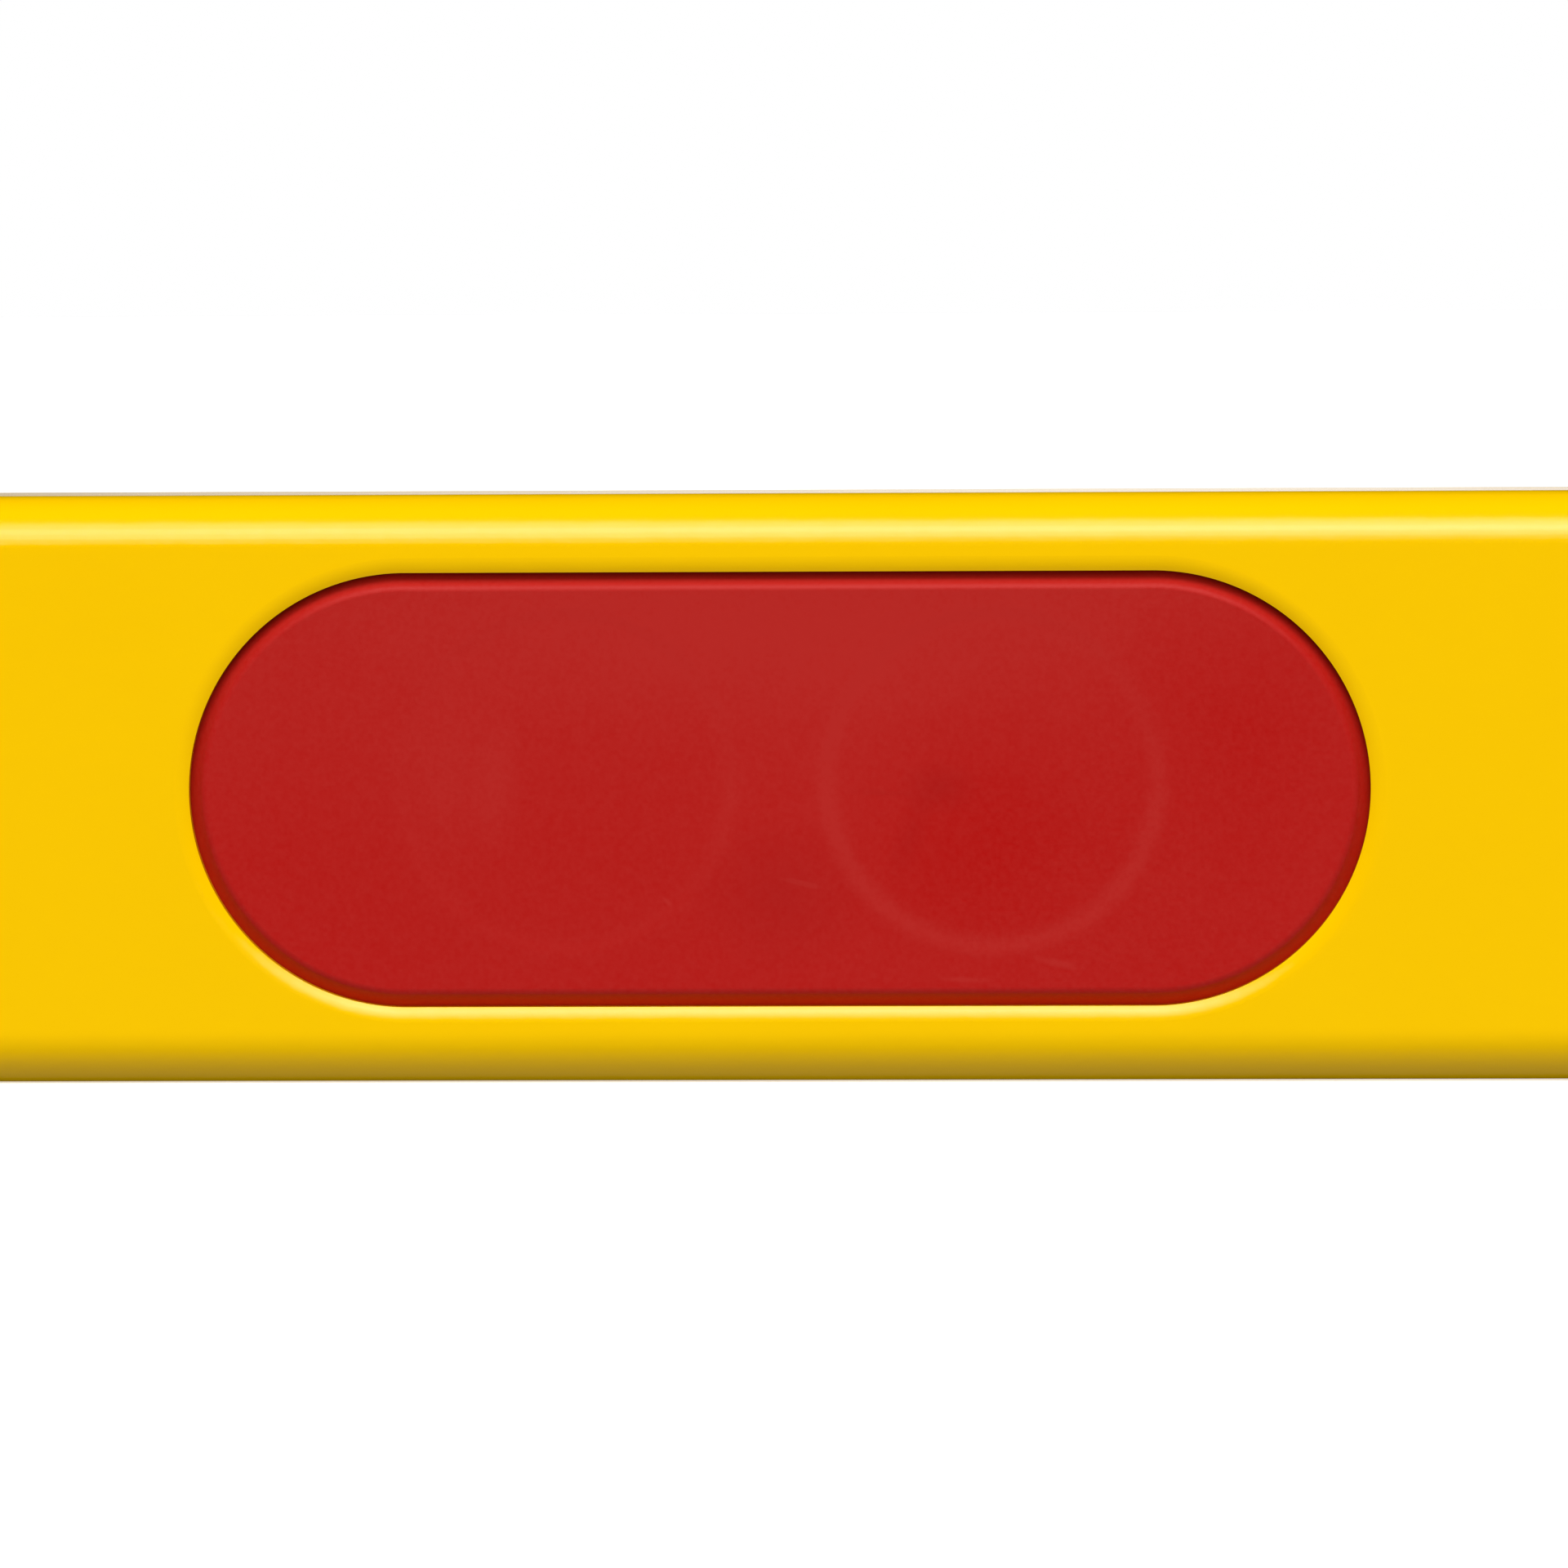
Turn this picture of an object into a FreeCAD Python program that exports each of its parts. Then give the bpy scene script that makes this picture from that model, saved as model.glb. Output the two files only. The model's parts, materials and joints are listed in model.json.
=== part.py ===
import FreeCAD, Part
import math
import os

from FreeCAD import Vector

# A box-section spirit level that lies on its lower measuring face. Lengths are in
# millimetres. X runs along the level, the front is -Y, and up is +Z. The origin is
# the middle of the lower measuring face.

# ---- Driving dimensions ----

# Body: an extruded box section, closed at both ends by a cap and a pad
overall_length = 600.0
section_height = 50.0
section_width = 22.0
section_corner = 4.5
side_wall = 2.0
sole_wall = 2.6            # top and bottom walls, which carry the measuring faces

# Punched openings: a strip of wall is left above and below, and the punch rolls
# the edge inwards along an arc
opening_strip = 6.55
roll_radius = 3.0
roll_angle = 28.0

# General fits
cover_gap = 0.08           # round each moulding in its opening
fit_gap = 0.1              # between mouldings that slide into each other
cover_wall = 2.3
edge_radius = 0.3
lug_reach = 1.0            # how far a snap lug hooks behind the side wall
lug_root = 2.5             # how far it runs back into its moulding
lug_width = 8.0
lug_depth = 3.0
pin_diameter = 3.0         # pins on rear mouldings, in sockets on front ones
pin_boss_wall = 0.8
pin_reach = 4.0
root_overlap = 0.3         # how far a pin or spigot is sunk into its own moulding

# Covers: a flat field rolls over into a slope that falls away to the edge
field_sink = 0.4
slope_width = 1.25
slope_angle = 45.0
shoulder_radius = 0.9

# Hand grips, each closed by a front and a rear cover whose bosses plug together
grip_length = 100.2
boss_diameter = 29.8
boss_wall = 1.4
boss_offset = 18.1         # from the middle of the cover, along X
boss_rise = 0.7            # above the middle of the cover
spigot_length = 3.0
bead_height = 0.25
bead_width = 0.8
witness_depth = 0.06       # sink mark that each boss leaves on the face

# Level station: a two-part housing in a notch that is open at the top
notch_length = 72.0
notch_depth = 28.0
notch_corner = 6.0
housing_wall = 1.7
housing_sink = 0.3
level_window_length = 52.0
level_window_height = 14.0
level_window_width = 12.0
window_corner = 2.0
block_length = 60.0
block_height = 18.0
block_edge = 0.6

# Plumb stations: a see-through tunnel with a vial standing in the middle
plumb_length = 54.0
plumb_from_end = 55.0
tunnel_length = 40.0
tunnel_height = 23.2
tunnel_wall = 1.8
lens_ledge = 2.0
lens_thickness = 1.2
lens_sink = 0.2            # below the field round it
lens_edge = 0.2
cup_wall = 1.4
cup_floor = 1.3

# Vials: a bore whose walls arch outwards, so that the bubble rises to the middle
bore_radius = 4.6
level_arch_radius = 2000.0
level_cavity = 48.0
plumb_bore_radius = 4.4
plumb_arch_radius = 1000.0
plumb_cavity = 24.0
ring_width = 0.6
ring_thickness = 0.35
level_ring_offset = 7.6
plumb_ring_offset = 5.6
film = 0.03                # between a bore and its fluid, rings and plug
bubble_gap = 0.3
level_bubble_length = 13.0
level_bubble_radius = 2.6
plumb_bubble_length = 9.0
plumb_bubble_radius = 3.2

# Ends
cap_flange = 2.5
cap_inset = 0.2            # keeps the flange clear of the measuring faces
cap_depth = 16.0
cap_wall = 2.0
crush_rib_width = 1.2
crush_rib_offset = 11.0    # from the middle of the cap, up and down
pad_thickness = 3.0
pad_inset = 0.4
pad_round = 1.6
pad_spigot_depth = 1.2
pad_spigot_inset = 5.0
pad_spigot_corner = 2.0

# Modelling: how far a cutting solid runs past a face, and how near counts as touching
overshoot = 1.0
tolerance = 1e-4

# ---- Sizes and places that follow from them ----


def arch_drop(cavity, arch_radius):
    """How much smaller the bore is at the ends of its cavity than in its middle."""
    return arch_radius - math.sqrt(arch_radius**2 - (cavity / 2) ** 2)


origin = Vector(0, 0, 0)
half_width = section_width / 2
mid_height = section_height / 2
cavity_width = section_width - 2 * side_wall
cavity_height = section_height - 2 * sole_wall
cavity_corner = section_corner - side_wall
profile_length = overall_length - 2 * (cap_flange + pad_thickness)
opening_height = section_height - 2 * opening_strip
roll_width = roll_radius * math.sin(math.radians(roll_angle))
notch_floor = section_height - notch_depth
plumb_x = overall_length / 2 - plumb_from_end
grip_x = (notch_length / 2 + plumb_x - plumb_length / 2) / 2
cover_back = field_sink + cover_wall
boss_radius = boss_diameter / 2
boss_bore = boss_radius - boss_wall
block_width = cavity_width
block_top = section_height - housing_sink - housing_wall
level_axis_z = block_top - block_height / 2
plumb_vial_radius = cavity_width / 2 - cup_wall - fit_gap
plumb_vial_length = opening_height - 2 * (cup_floor + cover_gap + fit_gap)
lens_back = field_sink + lens_sink + lens_thickness
bore_end_radius = bore_radius - arch_drop(level_cavity, level_arch_radius)
bubble_rise = bore_end_radius - bubble_gap - level_bubble_radius
level_pin_x = (block_length / 2 + notch_length / 2) / 2
plumb_pin_x = (tunnel_length / 2 + tunnel_wall + plumb_length / 2) / 2


def face_y(depth):
    """The Y of a plane that lies a depth behind the front face."""
    return depth - half_width


# ---- Shapes used by several pieces ----


def rounded_face(width, height, radius):
    """A rounded rectangle in the XZ plane; an obround if the radius is half its height."""
    x = width / 2 - radius
    z = height / 2 - radius
    arcs = []
    for quarter, (cx, cz) in enumerate(((x, z), (-x, z), (-x, -z), (x, -z))):
        rim = []
        for eighth in range(3):
            angle = math.radians(90 * quarter + 45 * eighth)
            rim.append(Vector(cx + radius * math.cos(angle), 0, cz + radius * math.sin(angle)))
        arcs.append(rim)
    edges = []
    for this, after in zip(arcs, arcs[1:] + arcs[:1]):
        edges.append(Part.Arc(*this).toShape())
        if this[2].distanceToPoint(after[0]) > tolerance:
            edges.append(Part.LineSegment(this[2], after[0]).toShape())
    return Part.Face(Part.Wire(edges))


def prism(axis, width, height, radius, start, end):
    """A rounded rectangle carried along an axis. Its width is along X, or Y for axis x."""
    solid = rounded_face(width, height, radius).extrude(Vector(0, end - start, 0))
    solid.translate(Vector(0, start, 0))
    if axis == "x":
        solid.rotate(origin, Vector(0, 0, 1), -90)
    if axis == "z":
        solid.rotate(origin, Vector(1, 0, 0), 90)
    return solid


def plate(width, height, radius, start, end, x=0.0, z=mid_height):
    """A rounded plate parallel to the front face, between two planes across Y."""
    return prism("y", width, height, radius, start, end).translated(Vector(x, 0, z))


def box(x, y, z):
    """A box from its lowest and highest value along each axis."""
    corner = Vector(x[0], y[0], z[0])
    return Part.makeBox(x[1] - x[0], y[1] - y[0], z[1] - z[0], corner)


def rod(radius, start, end, x=0.0, z=mid_height):
    """A round bar across the level, between two planes across Y."""
    return Part.makeCylinder(radius, end - start, Vector(x, start, z), Vector(0, 1, 0))


def tube(outer, inner, start, end, x=0.0, z=mid_height):
    """A round tube across the level, between two planes across Y."""
    return rod(outer, start, end, x, z).cut(rod(inner, start, end, x, z))


def round_front(solid, radius):
    """Round the edges of a solid's frontmost face."""
    front = solid.BoundBox.YMin
    edges = [edge for edge in solid.Edges if edge.BoundBox.YMax < front + tolerance]
    return solid.makeFillet(radius, edges)


def join(*solids):
    """One clean solid from several that touch or overlap."""
    return solids[0].fuse(list(solids[1:])).removeSplitter()


def to_rear(solid):
    """The mirror image of a front piece, behind the middle plane."""
    return solid.mirror(origin, Vector(0, 1, 0))


def rolled_half_section(half_span):
    """Half of a section across a punched opening: X outwards, and the face on Y 0."""
    inside = half_width + overshoot
    outside = -overshoot
    arc = []
    for share in (1, 0.5, 0):
        angle = math.radians(roll_angle * share)
        arc.append(
            Vector(
                half_span + roll_width - roll_radius * math.sin(angle),
                roll_radius * (1 - math.cos(angle)),
                0,
            )
        )
    corners = [
        arc[2],
        Vector(half_span + roll_width, outside, 0),
        Vector(0, outside, 0),
        Vector(0, inside, 0),
        Vector(half_span, inside, 0),
        arc[0],
    ]
    edges = [Part.LineSegment(a, b).toShape() for a, b in zip(corners, corners[1:])]
    return Part.Face(Part.Wire([*edges, Part.Arc(*arc).toShape()]))


def rolled_cutter(width, height, radius, x, z):
    """What a punch takes out of the front wall, with the rolled edge that it leaves."""
    run_x = width - 2 * radius
    run_z = height - 2 * radius
    turned = rolled_half_section(radius).revolve(origin, Vector(0, 1, 0), 360)
    solids = []
    for cx in {-run_x / 2, run_x / 2}:
        for cz in {-run_z / 2, run_z / 2}:
            solids.append(turned.translated(Vector(cx, 0, cz)))
    along = rolled_half_section(height / 2)
    along.rotate(origin, Vector(0, 1, 0), -90)
    along.translate(Vector(-run_x / 2, 0, 0))
    along = along.extrude(Vector(run_x, 0, 0))
    solids += [along, along.mirror(origin, Vector(0, 0, 1))]
    if run_z > 0:
        upright = rolled_half_section(width / 2)
        upright.translate(Vector(0, 0, -run_z / 2))
        upright = upright.extrude(Vector(0, 0, run_z))
        solids += [upright, upright.mirror(origin, Vector(1, 0, 0))]
    return join(*solids).translated(Vector(x, -half_width, z))


def barrel(cavity, radius, arch_radius):
    """The arched cavity of a vial, along X and centred on the origin."""
    end = cavity / 2
    end_radius = radius - arch_drop(cavity, arch_radius)
    left, right = Vector(-end, 0, end_radius), Vector(end, 0, end_radius)
    edges = [
        Part.Arc(left, Vector(0, 0, radius), right).toShape(),
        Part.LineSegment(right, Vector(end, 0, 0)).toShape(),
        Part.LineSegment(Vector(end, 0, 0), Vector(-end, 0, 0)).toShape(),
        Part.LineSegment(Vector(-end, 0, 0), left).toShape(),
    ]
    return Part.Face(Part.Wire(edges)).revolve(origin, Vector(1, 0, 0), 360)


def bar_x(radius, start, end):
    """A round bar along X."""
    return Part.makeCylinder(radius, end - start, Vector(start, 0, 0), Vector(1, 0, 0))


def capsule(length, radius):
    """A bubble's stand-in along X: a round bar with round ends."""
    reach = length / 2 - radius
    ends = [Part.makeSphere(radius, Vector(side * reach, 0, 0)) for side in (-1, 1)]
    return join(bar_x(radius, -reach, reach), *ends)


def disc_x(radius, middle, width):
    """A disc across X."""
    return bar_x(radius, middle - width / 2, middle + width / 2)


def reading_ring(radius, offset):
    """A reading ring round X, flush with the bore."""
    disc = disc_x(radius + ring_thickness, offset, ring_width)
    return disc.cut(disc_x(radius, offset, ring_width + overshoot))


def stand_up(solid):
    """Turn a vial piece that was made along X so that it stands along Z."""
    return solid.rotated(origin, Vector(0, 1, 0), -90)


# ---- Body ----


def body_profile():
    """The extrusion with its notch, its grip openings and its plumb openings."""
    end = profile_length / 2
    outer = prism("x", section_width, section_height, section_corner, -end, end)
    inner = prism("x", cavity_width, cavity_height, cavity_corner, -end, end)
    body = outer.cut(inner).translated(Vector(0, 0, mid_height))
    openings = [
        rolled_cutter(notch_length, 2 * notch_depth, notch_corner, 0, section_height)
    ]
    for side in (-1, 1):
        for length, x in ((grip_length, grip_x), (plumb_length, plumb_x)):
            openings.append(
                rolled_cutter(length, opening_height, opening_height / 2, side * x, mid_height)
            )
    for opening in openings:
        body = body.cut(opening).cut(to_rear(opening))
    return body


# ---- Hand grips ----


def cover_plate(length):
    """A cover's visible plate: a flat field inside a slope that falls away to its edge."""
    height = opening_height - 2 * cover_gap
    width = length - 2 * cover_gap
    edge = field_sink + slope_width * math.tan(math.radians(slope_angle))
    land = plate(width, height, height / 2, face_y(edge), face_y(cover_back))
    outlines = []
    for inset, depth in ((0, edge), (slope_width, field_sink)):
        high = height - 2 * inset
        outline = rounded_face(width - 2 * inset, high, high / 2).OuterWire
        outlines.append(outline.translated(Vector(0, face_y(depth), mid_height)))
    slope = Part.makeLoft(outlines, True, True)
    return round_front(join(land, slope), shoulder_radius)


def grip_cover(bore, sleeve):
    """A grip cover with two round bosses, and what the sleeve adds inside each of them."""
    cover = cover_plate(grip_length)
    z = mid_height + boss_rise
    for x in (-boss_offset, boss_offset):
        boss = tube(boss_radius, bore, face_y(cover_back), 0, x, z)
        witness = tube(boss_radius, boss_bore, face_y(0), face_y(field_sink + witness_depth), x, z)
        cover = join(cover, boss).cut(witness)
        cover = sleeve(cover, x, z)
    return cover


def grip_cover_front():
    """The front grip cover, whose bosses are sockets with a snap groove."""

    def snap_groove(cover, x, z):
        middle = spigot_length / 2
        reach = bead_width / 2 + fit_gap
        groove = tube(
            boss_bore + bead_height + fit_gap, boss_bore, -middle - reach, -middle + reach, x, z
        )
        return cover.cut(groove)

    return grip_cover(boss_bore, snap_groove)


def grip_cover_rear():
    """The rear grip cover, whose bosses carry spigots with a snap bead."""
    spigot_radius = boss_bore - fit_gap
    spigot_bore = spigot_radius - boss_wall

    def spigot(cover, x, z):
        middle = spigot_length / 2
        stem = tube(spigot_radius, spigot_bore, -root_overlap, spigot_length, x, z)
        bead = tube(
            spigot_radius + bead_height,
            spigot_bore,
            middle - bead_width / 2,
            middle + bead_width / 2,
            x,
            z,
        )
        return join(cover, stem, bead)

    return to_rear(grip_cover(spigot_bore, spigot))


# ---- Level station ----


def snap_lugs(half_length, z):
    """Two snap lugs that hook behind the side wall at the ends of a moulding."""
    start = face_y(side_wall + fit_gap)
    lugs = []
    for side in (-1, 1):
        x = sorted((side * (half_length - lug_root), side * (half_length + lug_reach)))
        lugs.append(box(x, (start, start + lug_depth), (z - lug_width / 2, z + lug_width / 2)))
    return lugs


def with_sockets(half, pin_x, z):
    """A front half with the two sockets that take the rear half's pins."""
    depth = pin_reach + fit_gap
    radius = pin_diameter / 2 + fit_gap
    return half.cut([rod(radius, -depth, 0, x, z) for x in (-pin_x, pin_x)])


def with_pins(half, pin_x, z):
    """A rear half, still facing the front, with its two pins."""
    pins = [rod(pin_diameter / 2, -root_overlap, pin_reach, x, z) for x in (-pin_x, pin_x)]
    return join(half, *pins)


def level_housing():
    """Half of the level station's housing, before its pins or sockets."""
    half_length = notch_length / 2 - cover_gap
    floor = notch_floor + cover_gap
    filling = plate(
        2 * half_length,
        2 * (section_height - floor),
        notch_corner - cover_gap,
        face_y(housing_sink),
        0,
        z=section_height,
    )
    envelope = prism(
        "x",
        section_width - 2 * housing_sink,
        section_height - 2 * housing_sink,
        section_corner - housing_sink,
        -half_length,
        half_length,
    ).translated(Vector(0, 0, mid_height))
    housing = join(filling.common(envelope), *snap_lugs(half_length, level_axis_z))
    pocket_end = block_length / 2 + fit_gap
    pocket_floor = block_top - block_height - fit_gap
    pocket = box(
        (-pocket_end, pocket_end),
        (-block_width / 2 - fit_gap, 0),
        (pocket_floor, block_top + fit_gap),
    )
    front_window = plate(
        level_window_length, level_window_height, window_corner, face_y(0), 0, z=level_axis_z
    )
    top_window = prism(
        "z", level_window_length, level_window_width, window_corner, block_top, section_height
    )
    hollow = box(
        (-pocket_end, pocket_end),
        (face_y(side_wall + housing_wall), 0),
        (floor + housing_wall, pocket_floor - housing_wall),
    )
    return housing.cut([pocket, front_window, top_window, hollow])


def level_housing_front():
    """The front half of the level station's housing."""
    return with_sockets(level_housing(), level_pin_x, level_axis_z)


def level_housing_rear():
    """The rear half of the level station's housing."""
    return to_rear(with_pins(level_housing(), level_pin_x, level_axis_z))


# ---- Plumb stations ----


def plumb_bezel():
    """Half of a plumb station's tunnel with its cups, before its pins or sockets."""
    half_height = plumb_vial_length / 2 + fit_gap
    tunnel_outer = tunnel_height + 2 * tunnel_wall
    tunnel = plate(
        tunnel_length + 2 * tunnel_wall, tunnel_outer, tunnel_outer / 2, face_y(cover_back), 0
    )
    bosses = []
    for x in (-plumb_pin_x, plumb_pin_x):
        bosses.append(rod(pin_diameter / 2 + pin_boss_wall, face_y(cover_back), 0, x))
    cups = Part.makeCylinder(
        plumb_vial_radius + fit_gap + cup_wall,
        2 * (half_height + cup_floor),
        Vector(0, 0, mid_height - half_height - cup_floor),
    )
    front_half = box(
        (-plumb_length, plumb_length), (-section_width, 0), (0, section_height)
    )
    solid = join(
        cover_plate(plumb_length),
        tunnel,
        *bosses,
        cups.common(front_half),
        *snap_lugs(plumb_length / 2 - cover_gap, mid_height),
    )
    see_through = plate(tunnel_length, tunnel_height, tunnel_height / 2, face_y(0), 0)
    rebate = plate(
        tunnel_length + 2 * lens_ledge,
        tunnel_height + 2 * lens_ledge,
        tunnel_height / 2 + lens_ledge,
        face_y(0),
        face_y(lens_back),
    )
    vial_space = Part.makeCylinder(
        plumb_vial_radius + fit_gap, 2 * half_height, Vector(0, 0, mid_height - half_height)
    )
    return solid.cut([see_through, rebate, vial_space])


def plumb_bezel_front():
    """The front bezel of a plumb station."""
    return with_sockets(plumb_bezel(), plumb_pin_x, mid_height)


def plumb_bezel_rear():
    """The rear bezel of a plumb station."""
    return to_rear(with_pins(plumb_bezel(), plumb_pin_x, mid_height))


def plumb_lens():
    """The front window of a plumb station, on its ledge in the bezel."""
    height = tunnel_height + 2 * (lens_ledge - fit_gap)
    length = tunnel_length + 2 * (lens_ledge - fit_gap)
    lens = plate(length, height, height / 2, face_y(lens_back - lens_thickness), face_y(lens_back))
    return round_front(lens, lens_edge)


# ---- Vials ----


def vial(body, end, cavity, radius, arch_radius, ring_offset):
    """A clear body along X with its cavity, the bore for its plug and its ring grooves."""
    grooves = []
    for offset in (-ring_offset, ring_offset):
        grooves.append(disc_x(radius + ring_thickness + film, offset, ring_width + 2 * film))
    return body.cut([barrel(cavity, radius, arch_radius), bar_x(radius, cavity / 2, end), *grooves])


def plug(end, cavity, radius):
    """The plug that closes a vial's bore."""
    return bar_x(radius - film, cavity / 2 + film, end)


def level_vial_block():
    """The clear block of the level vial."""
    end = block_length / 2
    body = prism("x", block_width, block_height, block_edge, -end, end)
    return vial(body, end, level_cavity, bore_radius, level_arch_radius, level_ring_offset)


def level_bubble():
    """The bubble of the level vial, under the top of its bore."""
    return capsule(level_bubble_length, level_bubble_radius).translated(Vector(0, 0, bubble_rise))


def level_fluid():
    """The fluid of the level vial, with room for the bubble along the top."""
    fluid = barrel(level_cavity - 2 * film, bore_radius - film, level_arch_radius)
    end = level_cavity / 2
    half_channel = level_bubble_radius + bubble_gap
    channel = bar_x(half_channel, -end, end).translated(Vector(0, 0, bubble_rise))
    above = box((-end, end), (-half_channel, half_channel), (bubble_rise, bore_radius + overshoot))
    return fluid.cut([channel, above])


def plumb_vial():
    """The clear tube of a plumb vial, along X."""
    end = plumb_vial_length / 2
    body = bar_x(plumb_vial_radius, -end, end)
    return vial(
        body, end, plumb_cavity, plumb_bore_radius, plumb_arch_radius, plumb_ring_offset
    )


def plumb_bubble():
    """The bubble of a plumb vial, along X, at the plug's end of the cavity."""
    middle = plumb_cavity / 2 - bubble_gap - plumb_bubble_length / 2
    return capsule(plumb_bubble_length, plumb_bubble_radius).translated(Vector(middle, 0, 0))


def plumb_fluid():
    """The fluid of a plumb vial, along X, with room for the bubble in the middle."""
    fluid = barrel(plumb_cavity - 2 * film, plumb_bore_radius - film, plumb_arch_radius)
    end = plumb_cavity / 2
    return fluid.cut(bar_x(plumb_bubble_radius + bubble_gap, bubble_gap - end, end))


# ---- Ends ----


def end_cap():
    """The right end cap: a flange, a hollow plug with crush ribs, and the pad's pocket."""
    face = profile_length / 2
    flange = prism(
        "x",
        section_width - 2 * cap_inset,
        section_height - 2 * cap_inset,
        section_corner - cap_inset,
        face,
        face + cap_flange,
    )
    plug_width = cavity_width - 2 * cover_gap
    plug_height = cavity_height - 2 * cover_gap
    plug_body = prism(
        "x", plug_width, plug_height, cavity_corner - cover_gap, face - cap_depth, face
    )
    hollow = prism(
        "x",
        plug_width - 2 * cap_wall,
        plug_height - 2 * cap_wall,
        edge_radius,
        face - cap_depth,
        face,
    )
    ribs = []
    for z in (-crush_rib_offset, crush_rib_offset):
        ribs.append(
            box(
                (face - cap_depth + cap_wall, face),
                (film - cavity_width / 2, cavity_width / 2 - film),
                (z - crush_rib_width / 2, z + crush_rib_width / 2),
            )
        )
    body = join(plug_body, *ribs).cut(hollow)
    pocket = pad_spigot(face + cap_flange, fit_gap)
    return join(flange, body).cut(pocket).translated(Vector(0, 0, mid_height))


def pad_spigot(start, slack):
    """The pad's spigot, or with slack the pocket that takes it."""
    width = section_width - 2 * pad_spigot_inset + 2 * slack
    height = section_height - 2 * pad_spigot_inset + 2 * slack
    return prism("x", width, height, pad_spigot_corner, start - pad_spigot_depth - slack, start)


def end_pad():
    """The right end pad: a soft block with a rounded outer face and a spigot."""
    start = profile_length / 2 + cap_flange
    pad = prism(
        "x",
        section_width - 2 * pad_inset,
        section_height - 2 * pad_inset,
        section_corner - pad_inset,
        start,
        start + pad_thickness,
    )
    outer = [edge for edge in pad.Edges if edge.BoundBox.XMin > start + pad_thickness - tolerance]
    pad = pad.makeFillet(pad_round, outer)
    return join(pad, pad_spigot(start, 0)).translated(Vector(0, 0, mid_height))


# ---- Assembly ----


def pieces():
    """Every piece of the level by name, where it lies."""
    at_level = Vector(0, 0, level_axis_z)
    found = {
        "body_profile": body_profile(),
        "level_housing_front": level_housing_front(),
        "level_housing_rear": level_housing_rear(),
        "level_vial_block": level_vial_block().translated(at_level),
        "level_vial_plug": plug(block_length / 2, level_cavity, bore_radius).translated(at_level),
        "level_fluid": level_fluid().translated(at_level),
        "level_bubble": level_bubble().translated(at_level),
    }
    for name, side in (("left", -1), ("right", 1)):
        ring = reading_ring(bore_radius, level_ring_offset)
        if side < 0:
            ring = ring.mirror(origin, Vector(1, 0, 0))
        found[f"level_ring_{name}"] = ring.translated(at_level)
    upright = {
        "plumb_vial": plumb_vial(),
        "plumb_plug": plug(plumb_vial_length / 2, plumb_cavity, plumb_bore_radius),
        "plumb_fluid": plumb_fluid(),
        "plumb_bubble": plumb_bubble(),
        "plumb_ring_upper": reading_ring(plumb_bore_radius, plumb_ring_offset),
        "plumb_ring_lower": reading_ring(plumb_bore_radius, plumb_ring_offset).mirror(
            origin, Vector(1, 0, 0)
        ),
    }
    across = {
        "grip_cover_front": (grip_cover_front(), grip_x),
        "grip_cover_rear": (grip_cover_rear(), grip_x),
        "plumb_bezel_front": (plumb_bezel_front(), plumb_x),
        "plumb_bezel_rear": (plumb_bezel_rear(), plumb_x),
        "plumb_lens_front": (plumb_lens(), plumb_x),
        "plumb_lens_rear": (to_rear(plumb_lens()), plumb_x),
    }
    for name, solid in upright.items():
        across[name] = (stand_up(solid).translated(Vector(0, 0, mid_height)), plumb_x)
    ends = {"end_cap": end_cap(), "end_pad": end_pad()}
    for side, direction in (("left", -1), ("right", 1)):
        for name, (solid, x) in across.items():
            found[f"{name}_{side}"] = solid.translated(Vector(direction * x, 0, 0))
        for name, solid in ends.items():
            if direction < 0:
                solid = solid.mirror(origin, Vector(1, 0, 0))
            found[f"{name}_{side}"] = solid
    return found


os.makedirs("parts", exist_ok=True)
for name, solid in pieces().items():
    if not solid.isValid() or len(solid.Solids) != 1:
        raise ValueError(f"{name}: {len(solid.Solids)} solids, valid: {solid.isValid()}")
    solid.Solids[0].exportStep(f"parts/{name}.step")
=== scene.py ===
# %% [markdown]
# # A box-section spirit level
#
# This lesson dresses the frame of a yellow spirit level. The frame comes from the CAD
# pack: it holds every piece at its real size and place, in metres, with X along the
# level, the front at -Y and Z up. Pieces whose shape is already right keep their CAD
# mesh and get a finish. The body, the grip covers, the plumb windows, the fluids and the
# bubbles are modelled again here, because a close view shows every soft edge they have.

import json
import math

import bmesh
import bpy
from mathutils import Matrix, Vector

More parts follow.
